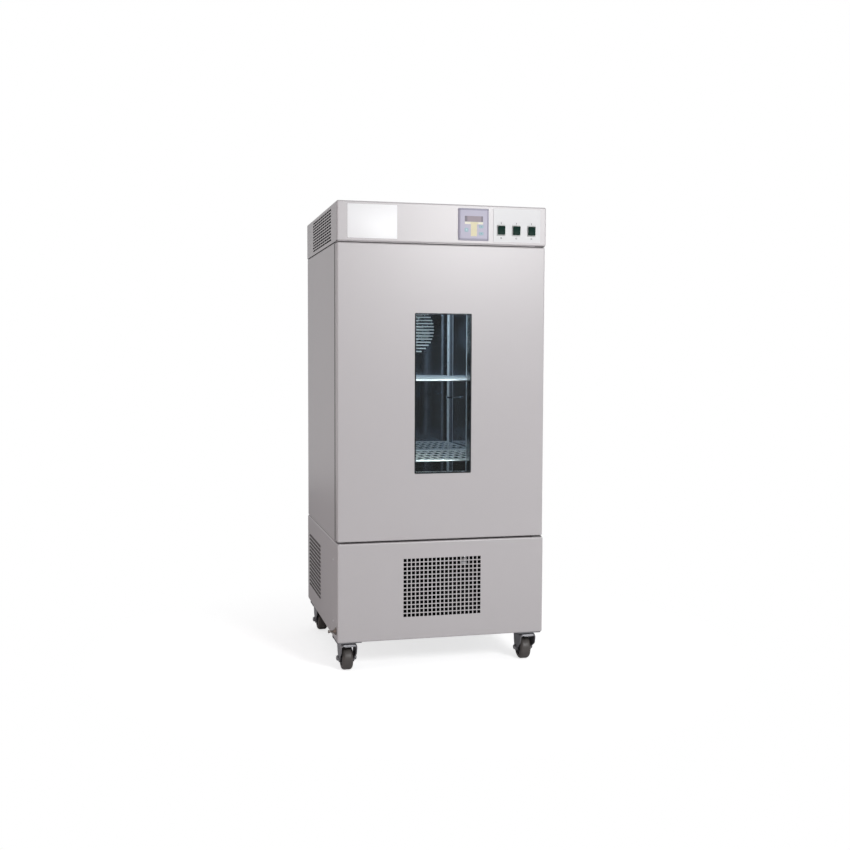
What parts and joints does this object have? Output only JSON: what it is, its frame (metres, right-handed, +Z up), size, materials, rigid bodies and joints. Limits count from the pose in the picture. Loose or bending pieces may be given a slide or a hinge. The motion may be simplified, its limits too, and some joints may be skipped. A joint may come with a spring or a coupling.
{
  "type": "biochemical oxygen demand incubator",
  "caption": "Floor-standing refrigerated incubator with a windowed hinged door, shelved steel chamber, control box on top and ventilated machine compartment on swivel casters.",
  "frame": {"origin": "on the floor, under the middle of the overall box", "axes": "+Z up, front of the cabinet towards -Y, +X to the right seen from the front"},
  "size_m": [0.6776, 0.6792, 1.42],
  "materials": {
    "pale_grey_paint": "satin",
    "white_plate": "satin",
    "galvanised_steel": "satin",
    "zinc_plate": "satin",
    "stainless_steel": "polished",
    "aluminium": "satin",
    "copper_tube": "satin",
    "nickelled_brass": "satin",
    "insulation_foam": "matte",
    "window_glass": "gloss",
    "black_rubber": "matte",
    "black_enamel": "satin",
    "dark_plastic": "matte",
    "lavender_plastic": "satin",
    "teal_key": "matte",
    "pale_bezel": "satin",
    "dark_green_rocker": "gloss"
  },
  "bodies": {
    "cabinet": {"air_heater": "galvanised_steel", "base_back_panel": "pale_grey_paint", "base_front_panel": "pale_grey_paint", "base_left_panel": "pale_grey_paint", "base_right_panel": "pale_grey_paint", "base_tray": "galvanised_steel", "body_insulation": "insulation_foam", "body_shell": "pale_grey_paint", "bottom_hinge": "zinc_plate", "cable_gland": "dark_plastic", "caster_back_left_plate": "zinc_plate", "caster_back_right_plate": "zinc_plate", "caster_front_left_plate": "zinc_plate", "caster_front_right_plate": "zinc_plate", "chamber_liner": "stainless_steel", "circulation_motor": "aluminium", "compressor": "black_enamel", "condenser": "aluminium", "condenser_shroud": "black_enamel", "control_cover": "pale_grey_paint", "control_panel": "pale_grey_paint", "controller": "lavender_plastic", "drain_nozzle": "nickelled_brass", "duct_panel": "stainless_steel", "evaporator_coil": "copper_tube", "lower_shelf": "stainless_steel", "shelf_upright_left_back": "stainless_steel", "shelf_upright_left_front": "stainless_steel", "shelf_upright_right_back": "stainless_steel", "shelf_upright_right_front": "stainless_steel", "switch_housing_1": "pale_bezel", "switch_housing_2": "pale_bezel", "switch_housing_3": "pale_bezel", "switch_plate": "white_plate", "temperature_probe": "stainless_steel", "top_hinge": "zinc_plate", "upper_shelf": "stainless_steel"},
    "door": {"door_skin": "pale_grey_paint", "door_inner_panel": "pale_grey_paint", "door_insulation": "insulation_foam", "window_frame": "aluminium", "outer_pane": "window_glass", "inner_pane": "window_glass", "door_gasket": "black_rubber"},
    "rocker_1": {"rocker_1": "dark_green_rocker"},
    "rocker_2": {"rocker_2": "dark_green_rocker"},
    "rocker_3": {"rocker_3": "dark_green_rocker"},
    "controller_key_set": {"controller_key_set": "teal_key"},
    "controller_key_up": {"controller_key_up": "teal_key"},
    "controller_key_down": {"controller_key_down": "teal_key"},
    "circulation_fan": {"circulation_fan": "dark_plastic"},
    "condenser_fan": {"condenser_fan": "dark_plastic"},
    "caster_front_left_fork": {"caster_front_left_fork": "zinc_plate"},
    "caster_front_left_wheel": {"caster_front_left_wheel": "black_rubber"},
    "caster_front_right_fork": {"caster_front_right_fork": "zinc_plate"},
    "caster_front_right_wheel": {"caster_front_right_wheel": "black_rubber"},
    "caster_back_left_fork": {"caster_back_left_fork": "zinc_plate"},
    "caster_back_left_wheel": {"caster_back_left_wheel": "black_rubber"},
    "caster_back_right_fork": {"caster_back_right_fork": "zinc_plate"},
    "caster_back_right_wheel": {"caster_back_right_wheel": "black_rubber"}
  },
  "joints": [
    {"name": "door_hinge", "type": "hinge", "parent": "cabinet", "child": "door", "pos_m": [0.31775, -0.31039, 0.85175], "axis": [0, 0, 1], "range_deg": [0, 180]},
    {"name": "rocker_1_pivot", "type": "hinge", "parent": "cabinet", "child": "rocker_1", "pos_m": [0.19005, -0.33049, 1.3465], "axis": [1, 0, 0], "range_deg": [-16, 0]},
    {"name": "rocker_2_pivot", "type": "hinge", "parent": "cabinet", "child": "rocker_2", "pos_m": [0.23855, -0.33049, 1.3465], "axis": [1, 0, 0], "range_deg": [-16, 0]},
    {"name": "rocker_3_pivot", "type": "hinge", "parent": "cabinet", "child": "rocker_3", "pos_m": [0.28705, -0.33049, 1.3465], "axis": [1, 0, 0], "range_deg": [-16, 0]},
    {"name": "controller_key_set_press", "type": "slide", "parent": "cabinet", "child": "controller_key_set", "axis": [0, 1, 0], "range_m": [0, 0.0005], "stiffness_N_per_m": 600},
    {"name": "controller_key_up_press", "type": "slide", "parent": "cabinet", "child": "controller_key_up", "axis": [0, 1, 0], "range_m": [0, 0.0005], "stiffness_N_per_m": 600},
    {"name": "controller_key_down_press", "type": "slide", "parent": "cabinet", "child": "controller_key_down", "axis": [0, 1, 0], "range_m": [0, 0.0005], "stiffness_N_per_m": 600},
    {"name": "circulation_fan_spin", "type": "hinge", "parent": "cabinet", "child": "circulation_fan", "pos_m": [0.01025, 0.13161, 1.052], "axis": [0, 1, 0], "continuous": true},
    {"name": "condenser_fan_spin", "type": "hinge", "parent": "cabinet", "child": "condenser_fan", "pos_m": [-0.20975, 0.14211, 0.2108], "axis": [1, 0, 0], "continuous": true},
    {"name": "caster_front_left_swivel", "type": "hinge", "parent": "cabinet", "child": "caster_front_left_fork", "pos_m": [-0.27575, -0.28139, 0.08], "axis": [0, 0, 1], "continuous": true},
    {"name": "caster_front_left_roll", "type": "hinge", "parent": "caster_front_left_fork", "child": "caster_front_left_wheel", "pos_m": [-0.27575, -0.25639, 0.0365], "axis": [1, 0, 0], "continuous": true},
    {"name": "caster_front_right_swivel", "type": "hinge", "parent": "cabinet", "child": "caster_front_right_fork", "pos_m": [0.29625, -0.28139, 0.08], "axis": [0, 0, 1], "continuous": true},
    {"name": "caster_front_right_roll", "type": "hinge", "parent": "caster_front_right_fork", "child": "caster_front_right_wheel", "pos_m": [0.29625, -0.25639, 0.0365], "axis": [1, 0, 0], "continuous": true},
    {"name": "caster_back_left_swivel", "type": "hinge", "parent": "cabinet", "child": "caster_back_left_fork", "pos_m": [-0.27575, 0.23161, 0.08], "axis": [0, 0, 1], "continuous": true},
    {"name": "caster_back_left_roll", "type": "hinge", "parent": "caster_back_left_fork", "child": "caster_back_left_wheel", "pos_m": [-0.27575, 0.25661, 0.0365], "axis": [1, 0, 0], "continuous": true},
    {"name": "caster_back_right_swivel", "type": "hinge", "parent": "cabinet", "child": "caster_back_right_fork", "pos_m": [0.29625, 0.23161, 0.08], "axis": [0, 0, 1], "continuous": true},
    {"name": "caster_back_right_roll", "type": "hinge", "parent": "caster_back_right_fork", "child": "caster_back_right_wheel", "pos_m": [0.29625, 0.25661, 0.0365], "axis": [1, 0, 0], "continuous": true}
  ]
}
